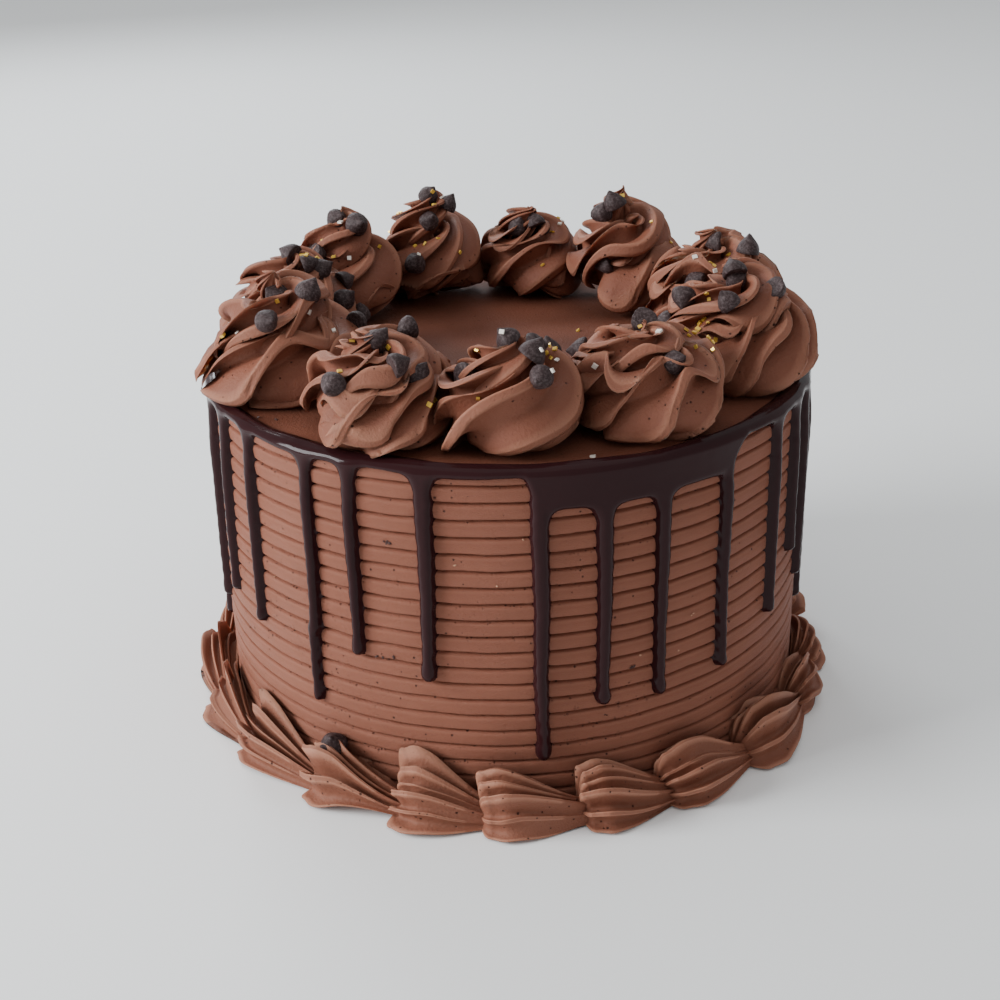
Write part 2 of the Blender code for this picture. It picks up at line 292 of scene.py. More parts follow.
def make_buttercream(name, dark, mean, light, pit_share, stretch=(1, 1, 1)):
    """Satin buttercream: dark to mean by drifting noise, a painted highlight along the edges, pits darkened
    as painted shade, grainy.

    On the top it is made darker and redder by the mesh's `stain` value: painted shade from the swirls
    around."""
    material, nodes, link, shader = new_material(name)
    where = nodes.new("ShaderNodeTexCoord").outputs["Object"]
    drift = noise(nodes, link, where, 55.0)
    shade = mix_colour(nodes, link, drift, dark, mean)
    # Painted highlight: the light colour is mixed in where the mesh's edge value is high
    shade = mix_colour(nodes, link, attribute(nodes, "edge"), shade, light)
    # Painted shade: the top is made darker and redder, for the shade of the swirls around it
    shade = mix_colour(nodes, link, attribute(nodes, "stain"), shade, TOP_SHADE_COLOUR)
    pits = add_pits(nodes, link, where, 500.0, 0.21, pit_share)
    # Where the comb tore the cream, its `torn` value brings out many more, finer pits
    torn = attribute(nodes, "torn")
    fine = add_pits(nodes, link, where, 1100.0, 0.5, 0.55)
    holes = calculate(nodes, link, "MULTIPLY_ADD", fine, torn, pits)
    holes.node.use_clamp = True
    # Painted shade: the pits are darkened in colour, besides being sunk by the bump below
    shade = mix_colour(nodes, link, holes, shade, PIT_SHADE_COLOUR)
    link(shade, shader.inputs["Base Color"])
    shader.inputs["Roughness"].default_value = 0.58
    shader.inputs["Specular IOR Level"].default_value = 0.20
    shader.inputs["Subsurface Weight"].default_value = 0.12
    shader.inputs["Subsurface Radius"].default_value = (1.0, 0.45, 0.3)
    shader.inputs["Subsurface Scale"].default_value = 0.002
    stretched = nodes.new("ShaderNodeMapping")
    stretched.inputs["Scale"].default_value = stretch
    link(where, stretched.inputs["Vector"])
    grain = noise(nodes, link, stretched.outputs["Vector"], 1300.0, 4.0, 0.65)
    relief = calculate(nodes, link, "MULTIPLY_ADD", holes, PIT_SUNK, grain)
    add_bump(nodes, link, shader, relief, 0.9, 0.0003)
    return material


# The third colour of each is the painted highlight along edges and lips
SIDE_CREAM = make_buttercream("Combed buttercream", (0.187, 0.0650, 0.0390, 1), (0.250, 0.0905, 0.0550, 1),
                              (0.380, 0.170, 0.112, 1), 0.40, (1, 1, 5))
PIPED_CREAM = make_buttercream("Piped buttercream", (0.163, 0.0555, 0.0325, 1), (0.216, 0.0770, 0.0460, 1),
                               (0.390, 0.180, 0.115, 1), 0.80)

# %% [markdown]
# ## The combed side
# A toothed scraper held against the turning cake leaves narrow grooves between flat ridges. In numbers,
# the radius drops by up to the groove's depth wherever the height is close to a groove's middle. The
# rows of the grid are packed closer there. The scraper was a little out of level, so the rings climb.

# %% The cake's body
COMB_PITCH = 4.35
COMB_FIRST = 1.75
COMB_RINGS = 21
COMB_HALF = 0.46
COMB_DEPTH = 1.0
COMB_CROWN = 0.40
COMB_RISE_X, COMB_RISE_Y = 0.0144, 0.0096
BODY_COLUMNS = 390
RIM_ROUND = 1.2
RIM_IN = 0.4
TOP_DROP = 0.1
TOP_WAVE = 40.0
IN_GROOVE = np.array([-1.5, -0.8, -0.5, -0.33, -0.16, 0.0, 0.16, 0.33, 0.5, 0.8])


def comb_level(bearing, height):
    """Height of a combed ring round the cake: it rises towards +X and +Y, but not at foot or rim."""
    rise = COMB_RISE_X * CAKE_R * np.sin(bearing) + COMB_RISE_Y * CAKE_R * (1 - np.cos(bearing))
    return height + rise * smooth(height / 8) * smooth((CAKE_H - height) / 4)


def comb_radius(bearing, height):
    """The side's radius: 80 less the groove, which is a rounded V of uneven depth, and a flat crown."""
    offset = (height - COMB_FIRST + COMB_PITCH / 2) % COMB_PITCH - COMB_PITCH / 2
    offset = offset + 0.10 * ripples(11, 10, 40, 0.05)(bearing, height)
    ragged = 1 + 0.22 * ripples(12, 14, 190, 0.2)(bearing, height)
    groove = COMB_DEPTH * ragged * smooth(1 - np.abs(offset) / COMB_HALF) ** 0.8
    crown = COMB_CROWN * (1 - np.abs(2 * offset / COMB_PITCH)) ** 2
    sway = 0.22 * ripples(13, 8, 5, 0.01)(bearing, height) + 0.05 * ripples(14, 12, 60, 0.3)(bearing, height)
    return CAKE_R - groove - crown + np.minimum(sway, 0.25) - 0.15


def top_shade_share(shade_wave):
    """How strong the painted shade on the top is, where a wave has a value of -1 to 1."""
    return np.clip(0.55 + 0.22 * shade_wave, 0.2, 0.9)


def make_body():
    """The side from foot to rim, then the top in rings to the middle, and the underside."""
    heights = [0.0]
    for ring in range(COMB_RINGS):
        heights += list(COMB_FIRST + ring * COMB_PITCH + IN_GROOVE)
    heights = np.array([h for h in heights if 0.0 <= h < CAKE_H - RIM_ROUND - RIM_IN])
    bearing = np.linspace(0, 2 * math.pi, BODY_COLUMNS, endpoint=False)[None, :]
    side_h = heights[:, None]
    side = place(bearing, comb_radius(bearing, side_h), comb_level(bearing, side_h))
    turn = np.linspace(0, math.pi / 2, 5)[:, None]
    rim = place(bearing, CAKE_R - RIM_IN - RIM_ROUND * (1 - np.cos(turn)),
                CAKE_H - RIM_ROUND * (1 - np.sin(turn)))
    radii = np.linspace(CAKE_R - 2.6, 1.0, 26)[:, None]
    # These waves run in x and y, because waves round the middle would pinch together there
    across = radii * np.sin(bearing) / TOP_WAVE
    ahead = radii * np.cos(bearing)
    wave = 0.12 * ripples(15, 10, 6, 0.04)(across, ahead) * smooth((76 - radii) / 4) * smooth(radii / 12)
    top = place(bearing, radii, CAKE_H + wave - TOP_DROP)
    foot = place(bearing, CAKE_R * np.array([[0.02], [0.97]]), 0.0)
    points = np.concatenate([foot, side, rim, top])
    sides = slice(len(foot), len(foot) + len(heights))
    # Painted highlight: the cream is made lighter just beside each groove, where the ridges' lips catch the
    # light
    offset = (side_h - COMB_FIRST + COMB_PITCH / 2) % COMB_PITCH - COMB_PITCH / 2
    edge = np.zeros(points.shape[:2])
    edge[sides] = np.exp(-((np.abs(offset) - 0.95) / 0.22) ** 2) * 0.22 + 0 * bearing
    patchy = smooth(0.3 + 0.8 * ripples(18, 14, 9, 0.03)(bearing, side_h))
    torn = np.zeros(points.shape[:2])
    torn[sides] = np.exp(-(offset / 0.75) ** 2) * patchy
    # Painted shade on the top, uneven over it; the side gets none
    stain = np.zeros(points.shape[:2])
    shade_wave = ripples(16, 24, 7, 0.05)
    stain[-len(radii):] = top_shade_share(shade_wave(across, ahead))
    poles = [[0, 0, 0], [0, 0, CAKE_H - TOP_DROP]]
    pole_shades = [0, top_shade_share(shade_wave(0.0, 0.0))]
    return add_piece("combed_cake", *closed_grid(points, poles, True), SIDE_CREAM,
                     {"edge": edge, "stain": np.append(stain, pole_shades), "torn": torn})


body = make_body()
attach(body, "root")
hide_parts("cake_body")

# %% [markdown]
# ## Ganache
# Warm ganache is a liquid that runs over the rim and sets. We lay a sheet of points over the rim and down
# the side, and lift each point by the local thickness. A field that is above zero inside the band and
# inside each drip gives that thickness, and a *smooth maximum* of the fields makes the fillets where a
# drip leaves the band. Where the field is negative the sheet dives into the cake, and is dropped.

# %% The ganache's field
# Bearing, tip height and share of the full width of each drip seen; those at the sides are narrower
SEEN_DRIPS = ((-74, 34, 0.76), (-64.5, 42, 0.72), (-53.3, 39.5, 0.66), (-37.3, 25, 0.70),
              (-28.1, 42, 0.83), (-14.6, 38, 1.0), (4.9, 16.5, 1.06), (15.8, 30.5, 0.96),
              (26.5, 30, 0.84), (40.3, 31.5, 0.73), (55.6, 38, 0.70), (65.0, 50, 0.72), (73, 38, 0.76))
HIDDEN_DRIPS = 17
HIDDEN_SHARE = 0.82
DRIP_HALF, DRIP_WIDENS, DRIP_TOP = 1.55, 0.75, 92
DRIP_BELOW = 1.1
DRIP_CROWN = 0.4
DRIP_BULB, BULB_AT, BULB_LONG = 0.40, 2.0, 1.9
GROOVE_SWELL = 0.09
JOINED_DRIP, JOINED_AT, JOINED_WIDER, JOINED_ASIDE = 3, 45, 0.45, 0.5
INNER_R = 77.0
BAND_FOOT = 91.0
BAND_EDGE = 1.9
WEB = 4.2
POOL_FROM, POOL_TO = 2.0, 46.0
POOL_DROP = 8.0


def all_drips():
    """Bearing, tip height and width share of every drip, those at the front and then those behind."""
    draw = random.Random(7)
    last = SEEN_DRIPS[-1][0]
    step = (360 + SEEN_DRIPS[0][0] - last) / (HIDDEN_DRIPS + 1)
    hidden = [(last + (k + 1 + draw.uniform(-0.22, 0.22)) * step, draw.uniform(18, 52), HIDDEN_SHARE)
              for k in range(HIDDEN_DRIPS)]
    return list(SEEN_DRIPS) + hidden


def band_foot(bearing):
    """Height of the band's lower edge: 91, waving a little, and 8 lower where it ran as one sheet."""
    degrees = (np.degrees(bearing) + 180) % 360 - 180
    pool = smooth((degrees - POOL_FROM) / 5) * smooth((POOL_TO - degrees) / 9)
    return BAND_FOOT + 0.4 * np.sin(11 * bearing) - POOL_DROP * pool * (1 + 0.08 * np.sin(9 * bearing))


def smooth_max(a, b, soft):
    """The larger of two fields, raised by soft / 4 where they are equal, and by less nearby."""
    near = np.maximum(soft - np.abs(a - b), 0) / soft
    return np.maximum(a, b) + near * near * soft / 4


def drip_depth(bearing, height, drip, number):
    """How far inside a drip a point lies, in mm: its half width there less the distance to its middle.

    A full drip is 3.1 mm wide near its tip and widens evenly to 4.6 mm at the rim, with a bulb below. Both
    lengths are taken as sqrt(length^2 + crown^2), which rounds the line along the drip's middle."""
    at_bearing, tip, share = drip
    draw = np.random.default_rng(300 + number)
    around = (bearing - math.radians(at_bearing) + math.pi) % (2 * math.pi) - math.pi
    sway = 0.2 * np.sin(height / draw.uniform(6, 11) + draw.uniform(0, 6))
    across = around * CAKE_R + sway + 0.05 * np.sin(height / 1.9 + number)
    up = height - tip + DRIP_BELOW
    width = DRIP_HALF + DRIP_WIDENS * up / (DRIP_TOP - tip)
    width = width * share * draw.uniform(0.94, 1.1)
    bulb = DRIP_BULB * np.exp(-((up - BULB_AT) / BULB_LONG) ** 2)
    width = width + bulb + 0.04 * np.sin(height / 2.3 + 2 * number)
    # It spreads a little into each groove of the comb
    width = width + GROOVE_SWELL * np.cos(2 * math.pi * (height - COMB_FIRST) / COMB_PITCH)
    if number == JOINED_DRIP:
        # This one ran into a thicker drop that had stopped before it
        width = width + JOINED_WIDER * np.exp(-((height - JOINED_AT) / 2.2) ** 2)
        across = across + JOINED_ASIDE * smooth((JOINED_AT + 2 - height) / 5)
    below = np.maximum(width - up, 0)
    return np.hypot(width, DRIP_CROWN) - np.sqrt(across ** 2 + below ** 2 + DRIP_CROWN ** 2)


# %% [markdown]
# The sheet itself starts on the top, goes round the rim and runs down the side, and the field lifts it. Its
# edge is a quarter circle, as surface tension rounds it. One mesh for band and drips has no seams, where
# separate drips would show a joint.

# %% The ganache's sheet
SHEET_COLUMNS = 1440
EDGE_ROUND = 1.8
SUNK = 1.3
THICK, THINNER_ON_TOP, THICKER_BELOW = 1.55, 0.75, 0.6
RIM_BEAD, BEAD_R = 0.35, 78.9


def make_ganache_material():
    """Nearly black, glossy chocolate, with slow waves in its shine."""
    material, nodes, link, shader = new_material("Ganache")
    shader.inputs["Base Color"].default_value = (0.0225, 0.0062, 0.0072, 1)
    shader.inputs["Roughness"].default_value = 0.14
    shader.inputs["Specular IOR Level"].default_value = 0.13
    where = nodes.new("ShaderNodeTexCoord").outputs["Object"]
    add_bump(nodes, link, shader, noise(nodes, link, where, 160.0, 2.0), 0.25, 0.0006)
    return material


def sheet_path():
    """Radius, height and outward direction along the path from the top, round the rim, down the side."""
    inward = np.arange(CAKE_R - 5.2, CAKE_R - 1.4, 0.36)
    turn = np.linspace(0, math.pi / 2, 7)
    side = np.concatenate([np.arange(91.3, 79.0, -0.5), np.arange(79.0, 13.0, -0.8)])
    corner = CAKE_R - RIM_ROUND + RIM_ROUND * np.sin(turn)
    radius = np.concatenate([inward, corner, np.full(len(side), CAKE_R)])
    corner = CAKE_H - RIM_ROUND + RIM_ROUND * np.cos(turn)
    height = np.concatenate([np.full(len(inward), CAKE_H), corner, side])
    out = np.concatenate([np.zeros(len(inward)), np.sin(turn), np.ones(len(side))])
    up = np.concatenate([np.ones(len(inward)), np.cos(turn), np.zeros(len(side))])
    return [v[:, None] for v in (radius, height, out, up)]


def make_ganache():
    """The sheet lifted to a round edge, thickness * sqrt(1 - (1 - depth / 1.8)^2), and sunk outside it."""
    radius, height, out, up = sheet_path()
    bearing = np.linspace(0, 2 * math.pi, SHEET_COLUMNS, endpoint=False)[None, :]
    inner = INNER_R + 0.8 * np.sin(3 * bearing + 0.6) + 0.4 * np.sin(5 * bearing)
    inner = inner + 0.45 * ripples(21, 8, 24, 0.0)(bearing, 0 * bearing)
    on_side = up < 0.5
    drops = np.full((len(radius), SHEET_COLUMNS), -9.0)
    for number, drip in enumerate(all_drips()):
        drops = np.maximum(drops, drip_depth(bearing, height, drip, number))
    band = np.minimum(height - band_foot(bearing), BAND_EDGE)
    depth = np.where(on_side, smooth_max(band, drops, WEB), np.minimum(radius - inner, BAND_EDGE))
    inside = np.clip(depth / EDGE_ROUND, 0, 1)
    full = THICK + 0.12 * ripples(22, 10, 30, 0.03)(bearing, height) - THINNER_ON_TOP * up
    full = full + RIM_BEAD * np.exp(-((radius - BEAD_R) / 0.9) ** 2) * (up > 0.99)
    full = full + THICKER_BELOW * smooth((BAND_FOOT - 3 - height) / 12)
    lift = full * np.sqrt(1 - (1 - inside) ** 2)
    lift = np.where(depth > 0, lift, -SUNK * smooth(-depth / 0.3))
    points = place(bearing, radius + out * lift, height + up * lift)
    quads = grid_quads(len(radius), SHEET_COLUMNS)
    kept = (lift.reshape(-1)[quads] > -0.95 * SUNK).any(axis=1)
    used, new = np.unique(quads[kept], return_inverse=True)
    return add_piece("ganache", points.reshape(-1, 3)[used], [new.reshape(-1, 4)], make_ganache_material())


ganache = make_ganache()
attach(ganache, "root")
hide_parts("ganache_drip")

# %% [markdown]
# ## The piped swirls
# A swirl is a rope of buttercream pressed through a star nozzle and coiled up to a tip. We carry a star
# section along the coil and twist it as it goes, because the cream is laid down from above. The star's
# points become thin blades, bent over to one side, and the blades climb round the swirl.

# %% A swirl's coil
SWIRLS = ((0, 18.5, 25), (33.5, 20, 24.5), (73, 21.5, 31), (110, 19, 28), (144, 18, 34.5), (174, 16.5, 26),
          (201, 16.5, 32.5), (229, 17, 32.5), (258, 17.5, 28), (290, 20.5, 30.5), (329, 19.5, 24.5))
SWIRL_RING = 61.0
ROPE_R = 9.3
ROPE_TURNS = 2.2
ROPE_FOOT = 7.5
ROPE_TIP = 2.0
FINS = 7
FIN_HALF = 0.095
FIN_TOP = 0.45
FIN_HIGH = 0.985
# Painted highlight: 0.3 of it on a fin's flat top, all of it where the fin meets each flute
FIN_HIGHLIGHT = 0.3
FLUTE_POINTS = 13
COIL_ROWS = 190
TWIST_MM = 8.5
ROPE_SPREAD = 1.15
LEAN_OVER = 0.50
TIP_LEAN = 1.5
LEAN_EACH = 2.4
FLUTE_DEPTH = 0.51
FOLDS = 0.58
START_MM = 6.0
ENDING, END_SPAN = 0.84, 0.16
TIP_UP = 1.6
SAG, SAG_WIDER = 0.45, 0.12
PRESS_SOFT = 1.2
PRESS = 0.5
# Strength of the painted highlight along the fins
LIP_HIGHLIGHT = 0.58


def swirl_centre(index):
    """The middle of a swirl's foot, just above the cake's top."""
    return place(math.radians(SWIRLS[index][0]), SWIRL_RING, CAKE_H + 0.1)


def rope(index, u):
    """How far out and how high the rope lies at shares u of its length, and how thick it is there.

    It closes in as 1 - u^2.2 while it rises as 0.35u + 0.65u^2, and it thins towards its tip."""
    _, foot, height = SWIRLS[index]
    away = (foot - ROPE_R) * (1 - u ** 2.2)
    rise = ROPE_FOOT + (height - ROPE_FOOT - ROPE_TIP) * (0.35 * u + 0.65 * u * u)
    return away, rise, ROPE_R * (1 - 0.18 * u - 0.6 * u ** 4)


def coil(index, u):
    """The rope's middle line as points, its thickness and its angle round the swirl."""
    away, rise, thick = rope(index, u)
    angle = index + 2 * math.pi * ROPE_TURNS * u
    lean = TIP_LEAN * rise / SWIRLS[index][2]
    x = away * np.cos(angle) + lean * math.cos(LEAN_EACH * index)
    y = away * np.sin(angle) + lean * math.sin(LEAN_EACH * index)
    return np.stack([x, y, rise], axis=-1), thick, angle


def flute(count):
    """Share of the way from fin to fin, height and edge value over the flute between two blunt fins.

    It is half an ellipse: with t from 0 to pi, its share is as 1 - cos t, and its height is 1 - sin t,
    so it leaves each fin steeply and is broad and smooth between them."""
    t = np.linspace(0, math.pi, count)
    share = FIN_HALF + (1 - 2 * FIN_HALF) * (1 - np.cos(t)) / 2
    return share, 1 - np.sin(t), np.concatenate([[1], np.zeros(count - 2), [1]])


def star_section():
    """Angle, height and edge value of the star's outline, over one turn of `FINS` fins and flutes."""
    share, height, edge = flute(FLUTE_POINTS)
    share = np.concatenate([[-FIN_TOP * FIN_HALF, FIN_TOP * FIN_HALF], share])
    height = np.concatenate([[FIN_HIGH, FIN_HIGH], height])
    edge = np.concatenate([[FIN_HIGHLIGHT, FIN_HIGHLIGHT], edge])
    angle = (share[None, :] + np.arange(FINS)[:, None]).reshape(-1) * 2 * math.pi / FINS
    return angle[None, :], np.tile(height, FINS)[None, :], np.tile(edge, FINS)[None, :]


# %% [markdown]
# Two swirls that touch both give way, to an upright wall between them. The soft maximum log(1 + e^x) keeps
# the pressed cream round.

# %% The swirls themselves
def beyond_wall(points, index, other):
    """How far points lie beyond the upright wall between two swirls, and the direction across it."""
    apart = swirl_centre(other) - swirl_centre(index)
    distance = np.linalg.norm(apart)
    share = SWIRLS[index][1] / (SWIRLS[index][1] + SWIRLS[other][1])
    return (points - swirl_centre(index)) @ (apart / distance) - distance * share, apart, distance


def make_swirl(index):
    """The twisted star carried along the coil, pressed flat on the cake and against its neighbours."""
    u = np.linspace(0, 1, COIL_ROWS)
    middle, thick, angle = coil(index, u)
    step = np.linalg.norm(np.diff(middle, axis=0), axis=1)
    length = np.concatenate([[0], np.cumsum(step)])[:, None]
    out = np.stack([np.cos(angle), np.sin(angle), 0 * angle], axis=-1)
    up = np.array([0.0, 0.0, 1.0])
    section, fin, lip_highlight = star_section()
    # Fins lean over and fold in S-curves, and each does so in its own way
    folds = FOLDS * ripples(410 + index, 5, 3, 0.10)(section, length)
    phi = section + length / TWIST_MM + folds * fin - LEAN_OVER * fin ** 1.5
    depth = FLUTE_DEPTH + 0.05 * ripples(430 + index, 6, 3, 0.05)(section, length)
    uneven = 1 + 0.09 * fin * ripples(450 + index, 6, 4, 0.03)(section, length)
    # The rope starts with a round end and runs out into a round tip, both as quarter ellipses
    start = np.sqrt(np.clip(1 - (1 - length / START_MM) ** 2, 0.0, 1.0))
    closing = start * (length < START_MM) + (length >= START_MM)
    depth = depth * (0.3 + 0.7 * smooth(length / 9))
    radius = thick[:, None] * ROPE_SPREAD * (1 - depth + depth * fin) * uneven
    along = u[:, None]
    end = np.sqrt(np.clip(1 - ((along - ENDING) / END_SPAN) ** 2, 0.0, 1.0)) ** 1.3
    ending = end * (along > ENDING)
    ending = ending + (along <= ENDING)
    radius = radius * (0.1 + 0.9 * closing) * (0.03 + 0.97 * ending)
    side = np.cos(phi)
    high = np.sin(phi)
    # The lower half is squashed by its own weight: broader, and no lower than the cake's top
    weight = 1 - SAG * smooth((14 - middle[:, 2:3]) / 6) * (high < 0)
    squash = np.where(high < 0, np.minimum(1.0, middle[:, 2:3] / (ROPE_SPREAD * thick[:, None])), 1.0)
    spread = np.sign(side) * np.abs(side) ** weight * (1 + SAG_WIDER * (1 - weight) / SAG)
    high = np.sign(high) * np.abs(high) ** weight
    points = middle[:, None, :] + out[:, None, :] * (radius * spread)[..., None]
    points = points + up * (radius * high * squash)[..., None]
    points[..., 2] += TIP_UP * smooth((along - 0.86) / 0.14) + 0 * section
    points = points + swirl_centre(index)
    for other in (index - 1, (index + 1) % len(SWIRLS)):
        beyond, apart, distance = beyond_wall(points, index, other)
        pressed = PRESS_SOFT * np.logaddexp(0, beyond / PRESS_SOFT)
        points = points - pressed[..., None] * PRESS * apart / distance
    # Painted highlight along the fins' edges, weaker at the rope's rounded start
    return add_piece(f"swirl_{index + 1:02d}_piped", *closed_grid(points), PIPED_CREAM,
                     {"edge": lip_highlight * LIP_HIGHLIGHT * closing})


swirls = []
for index in range(len(SWIRLS)):
    swirl = make_swirl(index)
    swirls.append(swirl)
    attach(swirl, "root")
    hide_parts(f"swirl_{index + 1:02d}")

# %% [markdown]
# ## The shell border
# A shell is one squeeze of the same nozzle that is drawn away as it thins: a full head whose ridges run
# together into a tail, which the next head covers. The section is half a star that shrinks along the way.

# %% Shells
SEEN_SHELLS = ((-54.5, 0.95), (-36, 0.97), (-18, 1.0), (-4, 1.2), (12.5, 1.06), (28.5, 1.02), (47, 1.02),
               (67, 0.92))
HIDDEN_SHELLS = 13
SHELL_FINS = 8
SHELL_FLUTE = 9
SHELL_CAP = 9
HEAD_ROUND = (2.2, 4.2)
SHELL_ROWS = 28
SHELL_FLOOR = 7
SHELL_HALF, SHELL_HIGH = 8.6, 16.6
SHELL_OUT, SHELL_DRIFT = 4.0, 3.0
SHELL_DEPTH = 0.37
SHELL_OVERLAP = 1.06


def all_shells():
    """Start and size of every shell, those at the front and then those behind, in degrees."""
    draw = random.Random(200)
    last = SEEN_SHELLS[-1][0]
    step = (360 + SEEN_SHELLS[0][0] - last) / (HIDDEN_SHELLS + 1)
    hidden = [(last + step * (k + 1), draw.uniform(0.84, 1.02)) for k in range(HIDDEN_SHELLS)]
    return list(SEEN_SHELLS) + hidden


def shell_section():
    """Angle and height of the fins over half a star: from the outer foot, over the top, to the wall."""
    share, height, lip_highlight = flute(SHELL_FLUTE)
    share = np.concatenate([[FIN_TOP * FIN_HALF], share, [1 - FIN_TOP * FIN_HALF]])
    height = np.concatenate([[FIN_HIGH], height, [FIN_HIGH]])
    lip_highlight = np.concatenate([[FIN_HIGHLIGHT], lip_highlight, [FIN_HIGHLIGHT]])
    angle = (share[None, :] + np.arange(SHELL_FINS)[:, None]).reshape(-1) * math.pi / SHELL_FINS
    return angle[None, :], np.tile(height, SHELL_FINS)[None, :], np.tile(lip_highlight, SHELL_FINS)[None, :]


def shell_size(s):
    """Size of the section along a shell: full at the head, then an even fall to a narrow tail."""
    return 0.98 - 0.70 * smooth((s + 0.02) / 1.1) - 0.14 * (1 - smooth(s / 0.16))


def make_shell(number, begin, span, size):
    """Points of one shell: rows over its head's end and then along it, columns round its section.

    The fins reach back past the head, each by its own length, which makes the end ragged."""
    draw = np.random.default_rng(600 + number)
    angle, fin, lip_highlight = shell_section()
    around_head = np.linspace(0.12, 0.94 * math.pi / 2, SHELL_CAP)
    cap = np.sin(around_head)
    s = np.concatenate([np.zeros(SHELL_CAP), np.linspace(0, 1, SHELL_ROWS) ** 1.1])[:, None]
    scale = np.concatenate([cap * shell_size(0.0), shell_size(s[SHELL_CAP:, 0])])[:, None] * size
    own = ripples(500 + number, 9, 5, 0.0)(angle, 0 * angle)
    torn = ripples(560 + number, 8, 40, 0.0)(angle, 0 * angle)
    reach = fin ** 3 * (2.3 + 1.5 * own + 0.5 * torn) + 0.5 * own
    bend = 0.12 * ripples(520 + number, 5, 3, 0.7)(angle, s) * smooth(s * 3)
    lumpy = 1 + 0.05 * ripples(540 + number, 5, 2, 0.6)(angle, s)
    depth = SHELL_DEPTH * (1 - 0.45 * s)
    uneven = 1 + 0.17 * fin * ripples(580 + number, 8, 8, 0.0)(angle, 0 * angle)
    profile = (1 - depth + depth * fin) * lumpy * uneven
    sweep = 0.4 * draw.uniform(-0.6, 1.0) * (1 - s) ** 1.5 * np.sin(angle)
    turned = np.clip(angle + bend + sweep, 0, math.pi)
    half = SHELL_HALF * scale * profile
    middle = CAKE_R + SHELL_OUT * np.minimum(scale, 1.1) + SHELL_DRIFT * s
    radius = np.maximum(middle + half * np.cos(turned), CAKE_R - 0.6)
    height = SHELL_HIGH * scale * profile * np.sin(turned)
    head = np.concatenate([np.cos(around_head), np.zeros(SHELL_ROWS)])[:, None]
    back = reach * (scale / size) ** 2 * (1 - smooth(s / 0.3)) + draw.uniform(*HEAD_ROUND) * head
    along = begin + span * s * SHELL_OVERLAP - back / CAKE_R
    upper = place(along, radius, height)
    share = np.linspace(0, 1, SHELL_FLOOR + 2)[1:-1][None, :, None]
    lower = upper[:, -1:, :] + (upper[:, :1, :] - upper[:, -1:, :]) * share
    # Painted highlight: slightly lighter over the whole top of the shell, much lighter along the fins of its
    # full head
    shell_highlight = 0.15 + 0.75 * lip_highlight * (scale / size > 0.5)
    edges = np.hstack([shell_highlight, np.zeros((len(s), SHELL_FLOOR))])
    return np.concatenate([upper, lower], axis=1), edges


# %% [markdown]
# Each shell runs from its own start to the next one's, and all go into one mesh.

# %% The whole border
def make_border():
    """All the shells as one mesh, each closed at its head and its tail."""
    row = all_shells()
    ends_at = [bearing for bearing, _ in row[1:]] + [row[0][0] + 360]
    points, faces, edges = [], [], []
    base = 0
    for number, (bearing, size) in enumerate(row):
        grid, edge = make_shell(number, math.radians(bearing), math.radians(ends_at[number] - bearing), size)
        shell, own_faces = closed_grid(grid)
        points.append(shell)
        faces += [face + base for face in own_faces]
        edges.append(np.append(edge, [0, 0]))
        base += len(shell)
    return add_piece("shell_border", np.vstack(points), faces, PIPED_CREAM, {"edge": np.concatenate(edges)})


border = make_border()
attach(border, "root")
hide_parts(*[f"shell_{k + 1:02d}" for k in range(len(all_shells()))])

# %% [markdown]
# ## Chocolate chips
# A chip is a drop of chocolate that set on a flat sheet: a flat base, a round belly and a small point.
# We turn one profile round an axis, and put a copy wherever a chip lies, half sunk in the cream. They
# are dull and dusty, with a pale bloom on the worn places.

# %% Chips
CHIP_R = 3.15
CHIP_H = 5.2
CHIP_MIDDLE = 0.35
CHIP_SIDES = 18
CHIP_DENTS = 0.07
RIDGE_DEPTH = 0.17
BORDER_CHIP = -33.5
SEARCH_FROM, SEARCH_M, REST_OUT = 9, 0.018, 0.9
CHIPS = (((270, .93), (37, .88), (24, .70), (92, .90), (139, .72)),
         ((239, .56), (30, .74), (180, .93)),
         ((265, .45), (289, .68), (316, .82), (286, .91), (343, .73), (56, .77)),
         ((333, .62), (0, .85), (45, .80)),
         ((300, .75), (325, .86), (330, .42)),
         ((320, .85), (20, .90), (80, .83)),
         ((350, .90), (0, .74), (345, .42), (70, .84)),
         ((300, .85), (40, .84), (320, .60)),
         ((237, .74), (246, .84), (262, .92), (47, .86), (71, .77), (111, .55), (78, .48), (87, .30)),
         ((313, .85), (56, .81), (358, .66), (98, .48)),
         ((119, .93), (141, .85), (326, .60), (25, .76), (53, .68), (66, .52)))
CHIP_PROFILE = ((0.60, 0.0), (0.93, 0.0), (0.97, 0.01), (1.0, 0.05), (1.0, 0.16), (0.95, 0.31), (0.83, 0.46),
                (0.65, 0.60), (0.45, 0.72), (0.28, 0.83), (0.15, 0.93))


def swirl_reach(index, angle, share):
    """How far the coiled rope reaches from a swirl's axis in a direction, at a share of its height."""
    height = share * SWIRLS[index][2]
    turn = (angle - index) / (2 * math.pi) % 1.0
    reach = 0.6
    while turn <= ROPE_TURNS:
        u = turn / ROPE_TURNS
        away, rise, thick = rope(index, u)
        off = (height - rise) * (1.0 if height > rise else 0.6)
        if abs(off) < thick:
            reach = max(reach, away + math.sqrt(thick * thick - off * off))
        turn += 1.0
    return reach


